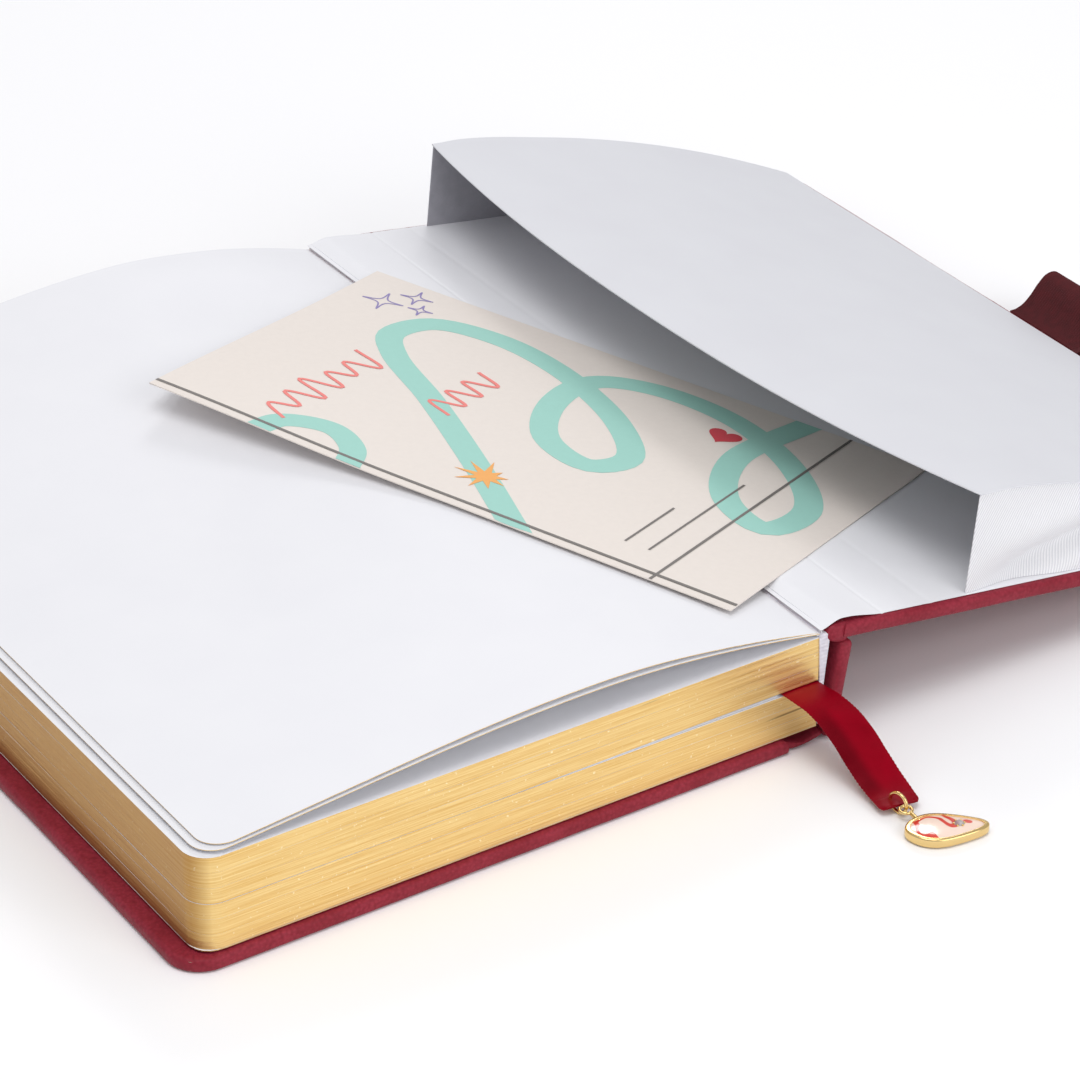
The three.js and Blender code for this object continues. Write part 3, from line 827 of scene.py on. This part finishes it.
# Back endpaper: pasted to the board inside the turned-in leather, humped over the joint, and
# scored where the pocket's base begins.
PASTEDOWN_INSET = 1.6
JOINT_SCORE = 18.5
POCKET_SCORE = 31.8


def endpaper_height(u, y):
    """The height of the endpaper over the back board's inner face."""
    free_end = ease(15, 2, y) + 0.4 * ease(198, 212, y)
    hump = (0.12 + 0.85 * free_end) * ease(1.5, 7.5, u) * ease(19, 9, u)
    dip = -1.15 * ease(7.5, 1.5, u)
    score = -0.16 * math.exp(-((u - JOINT_SCORE - 2.2 * y / COVER_HEIGHT) / 0.35) ** 2)
    base = -0.08 * math.exp(-((u - POCKET_SCORE) / 0.8) ** 2)
    return 0.16 + hump + dip + score + base


bm = leaf_face(BACK_FORE - PASTEDOWN_INSET, 2.0, PASTEDOWN_INSET,
               COVER_HEIGHT - PASTEDOWN_INSET, 0, COVER_CORNER - 1)
near_joint = [2.6 + 0.4 * i for i in range(58)]
near_pocket = [26 + 0.5 * i for i in range(24)]
cut_grid(bm, near_joint + near_pocket + list(range(40, 152, 8)), range(8, 214, 8))
for v in bm.verts:
    v.co.z = endpaper_height(v.co.x, v.co.y)
# Over the joint the paper is pasted to leather, seen from outside when the book is shut.
for face in bm.faces:
    face.material_index = 1 if face.calc_center_median().x < BACK_SPINE + 0.4 else 0
back_endpaper = add_piece("back_endpaper", bm, cover_frame, [wove, wove, calf])
thicken(back_endpaper, 0.1, offset=1.0, back_material=1)
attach(back_endpaper, "back_cover")
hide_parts("back_pastedown")

GUTTER_FOLD = [
    (155.6, 26.62), (157.0, 26.7), (156.9, 27.6), (157.3, 28.2), (157.3, 28.0), (156.7, 27.5),
    (156.6, 26.85), (155.6, 26.8),
]
gutter = add_piece("gutter_fold", long_strip(GUTTER_FOLD, 1.9, 214.1, 40, 0.05), book_frame,
                   [wove], sharp=70)
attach(gutter, "text_block")


# Expanding pocket: a stiff paper panel glued down along the fore-edge and bowed by the gussets,
# one of white twill book cloth at the tail and one backed with grey paper at the head, that grey
# partly painted shade.
POCKET_FOLD = 151.8
POCKET_TAIL = 1.8
POCKET_HEAD = 214.2


def mouth_place(y):
    """Where the pocket's mouth edge is over the board: it bulges between its two corners."""
    share = (y - POCKET_TAIL) / (POCKET_HEAD - POCKET_TAIL)
    bulge = 9.5 * (1 - abs(2 * share - 1.06) ** 2.4)
    return 39.6 - 2.6 * share - bulge


def mouth_rise(y):
    """How high the mouth edge stands: most at the tail, least where the panel sags."""
    share = (y - POCKET_TAIL) / (POCKET_HEAD - POCKET_TAIL)
    return 24.6 - 2.2 * share - 1.6 * math.sin(math.pi * share)


def panel_height(t, y):
    """The bowed panel's height at a share t of the way from the mouth to the fold."""
    return 0.75 + (mouth_rise(y) - 0.75) * (1 - t ** 1.9) + 0.5 * ease(0, 0.08, t) * ease(0.3, 0.1, t)


bm = bmesh.new()
bmesh.ops.create_grid(bm, x_segments=56, y_segments=48, size=0.5,
                      matrix=Matrix.Translation((0.5, 0.5, 0)))
for v in bm.verts:
    t, y = v.co.x, POCKET_TAIL + (POCKET_HEAD - POCKET_TAIL) * v.co.y
    start = mouth_place(y)
    v.co = Vector((start + (POCKET_FOLD - start) * t, y, panel_height(t, y)))
panel = add_piece("pocket_front", bm, cover_frame, [stiff_paper])
thicken(panel, 0.3, offset=0.0)
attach(panel, "pocket")
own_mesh(panel)
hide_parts("pocket_panel")

# Twill book cloth: filled satin-faced cotton, its diagonal cords 0.65 mm apart.
TWILL_PITCH = 0.00065
TWILL_TURN = math.radians(-32)
twill, shader, place = start_material("twill_book_cloth", 0.5)
turned = add_node("ShaderNodeMapping", {"Vector": place, "Rotation": (0, TWILL_TURN, 0)})["Vector"]
cords = add_wave(turned, TWILL_PITCH, "X", 0.6)
slub = add_noise(place, 1 / 0.0006, 3)
set_inputs(shader, {
    "Base Color": mix_tones(cords, "#d2d2d6", "#ececee"),
    "Normal": add_bump(add_math("ADD", cords, slub), 0.5, 0.00008),
    "Sheen Weight": 0.3,
})

# Grey lining paper behind the cloth, a little mottled: its grey is partly painted shade, for the dark
# inside of the pocket.
lining_paper, shader, place = start_material("grey_lining_paper_painted_shade", 0.85)
mottle = add_noise(place, 1 / 0.0035, 6, 0.7)
set_inputs(shader, {"Base Color": mix_tones(mottle, "#96959d", "#b8b7be")})

for name, node, edge, inward, faces in (
        ("tail_gusset", "pocket_gusset_tail", POCKET_TAIL + 0.5, 1, [twill, lining_paper]),
        ("head_gusset", "pocket_gusset_head", POCKET_HEAD - 0.6, -1, [lining_paper, twill])):
    bm = bmesh.new()
    bmesh.ops.create_grid(bm, x_segments=60, y_segments=24, size=0.5,
                          matrix=Matrix.Translation((0.5, 0.5, 0)))
    mouth = mouth_place(edge)
    for v in bm.verts:
        t, rise = v.co.x * 0.97, v.co.y
        fold = 0.06 + 0.5 * ease(0, 0.55, t)
        depth = 4.2 * ease(0, 0.2, t) * ease(1, 0.7, t) if inward > 0 else 1.2 * ease(0, 0.4, t)
        tuck = depth * math.exp(-((rise - fold) / 0.17) ** 2)
        swell = 0.9 * math.exp(-((rise - fold - 0.36) / 0.2) ** 2) * ease(0, 0.15, t)
        base = mouth + 1.2 - 1.0 * rise
        u = base + (POCKET_FOLD - base) * t
        top = panel_height(t, edge) - 0.25
        v.co = Vector((u, edge + inward * (tuck - swell), 0.32 + (top - 0.32) * rise))
    gusset = add_piece(name, bm, cover_frame, faces)
    thicken(gusset, 0.25, offset=0.0, back_material=1)
    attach(gusset, "back_cover")
    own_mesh(gusset)
    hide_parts(node)


# Pen loop: a band of ribbed elastic, its two ends glued between the board and the endpaper at the
# fore-edge. The ribs are the rubber threads, running round the loop.
LOOP_WIDTH = 24.5
LOOP_MIDDLE = 109.5
LOOP_THICKNESS = 1.1
RIB_PITCH = 0.76
RIB_DEPTH = 0.2
LOOP_PATH = [
    (153.9, -0.5), (155.9, -0.2), (158.2, 1.0), (160.4, 3.4), (162.2, 6.2), (164.2, 8.3),
    (166.6, 8.6), (168.8, 6.8), (169.4, 3.4), (168.4, -0.6), (165.6, -3.8), (161.2, -5.2),
    (157.2, -4.6), (153.9, -2.7),
]
LOOP_STEPS = 76
COLUMNS_PER_RIB = 4
loop_line = smooth_line([(u, 0, h) for u, h in LOOP_PATH], LOOP_STEPS)
columns = int(LOOP_WIDTH / RIB_PITCH) * COLUMNS_PER_RIB
bm = bmesh.new()
rings = []
for i, point in enumerate(loop_line):
    along = (loop_line[min(i + 1, LOOP_STEPS)] - loop_line[max(i - 1, 0)]).normalized()
    outward = Vector((0, 1, 0)).cross(along)
    ring = []
    for side in (0.5, -0.5):
        for k in (range(columns + 1) if side > 0 else range(columns, -1, -1)):
            rib = RIB_DEPTH * math.cos(math.tau * k / COLUMNS_PER_RIB)
            y = LOOP_MIDDLE + LOOP_WIDTH * (k / columns - 0.5)
            half = side * (LOOP_THICKNESS + 2 * rib)
            ring.append(bm.verts.new(point + outward * half + Vector((0, y, 0))))
    rings.append(ring)
for a, b in zip(rings, rings[1:]):
    for k in range(len(a)):
        n = (k + 1) % len(a)
        bm.faces.new((a[k], a[n], b[n], b[k]))
for ring_end in (rings[0], rings[-1]):
    for k in range(columns):
        bm.faces.new((ring_end[k], ring_end[k + 1], ring_end[-k - 2], ring_end[-k - 1]))
bmesh.ops.recalc_face_normals(bm, faces=bm.faces)
# Elastic: matt polyester yarn, knitted tight over the rubber, 0.4 mm stitches along each rib.
elastic, shader, place = start_material("ribbed_elastic", 0.8)
stitch = add_node("ShaderNodeTexVoronoi", {"Vector": place, "Scale": 1 / 0.0004})["Distance"]
set_inputs(shader, {
    "Base Color": mix_tones(add_noise(place, 1 / 0.002, 4), "#3d060c", "#5e1018"),
    "Normal": add_bump(stitch, 0.6, 0.0001),
    "Sheen Weight": 0.2,
    "Sheen Tint": linear("#a02030"),
})
pen_loop = add_piece("elastic_pen_loop", bm, cover_frame, [elastic], sharp=80)
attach(pen_loop, "back_cover")
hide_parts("pen_loop")


# Loose card: matt-coated cream board, printed on the side that faces up, slipped a third of its
# length into the pocket.
CARD_WIDTH = 96
CARD_LENGTH = 152
CARD_THICKNESS = 0.3
card_frame = (cover_frame @ Matrix.Translation((-2.3, 103, 0.45))
              @ Matrix.Rotation(math.radians(25.3), 4, "Z"))


def card_height(x, y):
    """The card's slight spring: the long corner outside the pocket lifts a little."""
    return 1.4 * ease(10, 76, y) * ease(30, -48, x)


def card_stock(name, hex_colour):
    """Matt-coated card or one of its inks, with a faint cloud of fibre under the coating."""
    material, shader, place = start_material(name, 0.55)
    fibre = add_noise(place, 1 / 0.0015, 5)
    darker = [c * 0.94 for c in linear(hex_colour)[:3]] + [1.0]
    set_inputs(shader, {"Base Color": mix_tones(fibre, darker, hex_colour),
                        "Normal": add_bump(fibre, 0.1, 0.00003)})
    return material


bm = bmesh.new()
bmesh.ops.create_grid(bm, x_segments=24, y_segments=38, size=0.5)
for v in bm.verts:
    x, y = v.co.x * CARD_WIDTH, v.co.y * CARD_LENGTH
    v.co = Vector((x, y, card_height(x, y)))
card = add_piece("printed_card", bm, card_frame, [card_stock("cream_coated_card", "#e8dfd7")])
thicken(card, CARD_THICKNESS, offset=1.0)
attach(card, "card")
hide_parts("insert_card")

INK_LIFT = CARD_THICKNESS + 0.03
INK_THICKNESS = 0.02
STROKE_RISE = 0.03
SECOND_LIFT = INK_LIFT + 0.06


def add_print(name, bm, material, lift):
    """A printed shape, laid on the card's face as a thin film of ink over those printed before."""
    for v in bm.verts:
        v.co.z += card_height(v.co.x, v.co.y) + lift
    ink = add_piece(name, bm, card_frame, [material])
    thicken(ink, INK_THICKNESS, offset=1.0)
    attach(ink, "card")


def add_stroke(bm, points, width, steps, closed=False):
    """A pen stroke or a band of even width along a smooth line, cut off at the card's edges."""
    line = smooth_line([(x, y, 0) for x, y in points], steps)
    last = None
    for i, point in enumerate(line):
        along = (line[min(i + 1, steps)] - line[max(i - 1, 0)]).normalized()
        side = Vector((-along.y, along.x, 0)) * width / 2
        pair = []
        for place in (point + side, point - side):
            x = min(max(place.x, -CARD_WIDTH / 2 + 0.05), CARD_WIDTH / 2 - 0.05)
            pair.append(bm.verts.new((x, place.y, STROKE_RISE * i / steps)))
        if last:
            bm.faces.new((last[0], last[1], pair[1], pair[0]))
        last = pair


bm = bmesh.new()
add_stroke(bm, [(-50, -24), (-28, 0), (-6, 26), (9, 46), (19, 53), (31, 49), (35, 33), (30, 12),
                (15, -12), (0, -23), (-9, -18), (-4, -4), (14, 5), (31, 4), (38, -8), (37, -30),
                (24, -53), (6, -66), (-8, -63), (-2, -50), (18, -41), (50, -45)], 6.6, 190)
add_stroke(bm, [(-50, 46), (-41, 44), (-36, 34), (-41, 25), (-50, 21)], 6.2, 40)
add_print("card_looping_band", bm, card_stock("teal_ink", "#9fd3c7"), INK_LIFT)

bm = bmesh.new()
flourish = [(-40 + 4 * i, 48 + (4.4 if i % 2 else -3.6) * (1 - 0.3 * math.sin(i)))
            for i in range(12)]
add_stroke(bm, flourish, 0.95, 120)
flourish = [(-10 + 3.6 * i, 23 + (3.4 if i % 2 else -4.2)) for i in range(8)]
add_stroke(bm, flourish, 0.95, 90)
add_print("card_flourish", bm, card_stock("coral_ink", "#f0857e"), SECOND_LIFT)


def add_star(bm, centre, points, outer, inner, turn):
    rim = []
    for i in range(2 * points):
        radius = (outer * (0.75 + 0.25 * math.cos(3 * i))) if i % 2 == 0 else inner
        angle = turn + math.pi * i / points
        rim.append(bm.verts.new((centre[0] + radius * math.cos(angle),
                                 centre[1] + radius * math.sin(angle), 0)))
    middle = bm.verts.new((centre[0], centre[1], 0))
    for i, point in enumerate(rim):
        bm.faces.new((middle, rim[i - 1], point))


bm = bmesh.new()
add_star(bm, (-31, -4), 9, 8, 2.5, 0.3)
add_print("card_star", bm, card_stock("orange_ink", "#f2ac5c"), SECOND_LIFT)

bm = bmesh.new()
rim = []
for i in range(40):
    angle = math.tau * i / 40
    across = 16 * math.sin(angle) ** 3
    height = (13 * math.cos(angle) - 5 * math.cos(2 * angle) - 2 * math.cos(3 * angle)
              - math.cos(4 * angle))
    # The heart stands on its point, which is towards the card's long rule.
    rim.append(bm.verts.new((27.5 + 0.26 * height, -33 - 0.26 * across, 0)))
bm.faces.new(rim)
add_print("card_heart", bm, card_stock("red_ink", "#cc4550"), SECOND_LIFT)

bm = bmesh.new()
for x, y, size in ((33.5, 65, 5.2), (41, 60, 4.2), (35.5, 55.5, 3.2)):
    for quarter in range(4):
        angle = math.pi / 2 * quarter + 0.25
        tips = [Vector((math.cos(a), math.sin(a))) for a in (angle, angle + math.pi / 2)]
        waist = (tips[0] + tips[1]) * 0.2
        add_stroke(bm, [Vector((x, y)) + size * p for p in (tips[0], waist, tips[1])], 0.4, 10)
add_print("card_sparkles", bm, card_stock("violet_ink", "#8f84b8"), INK_LIFT)

bm = bmesh.new()
add_stroke(bm, [(-45.2, 75.9), (-45.2, 0), (-45.2, -75.9)], 1.0, 40)
add_stroke(bm, [(-47.9, -56), (0, -56), (47.9, -56)], 0.7, 30)
for y, reach in ((-43, 22), (-49, 44)):
    add_stroke(bm, [(-36, y), (-36 + reach / 2, y), (-36 + reach, y)], 0.55, 12)
add_print("card_rules", bm, card_stock("grey_ink", "#77726e"), SECOND_LIFT)
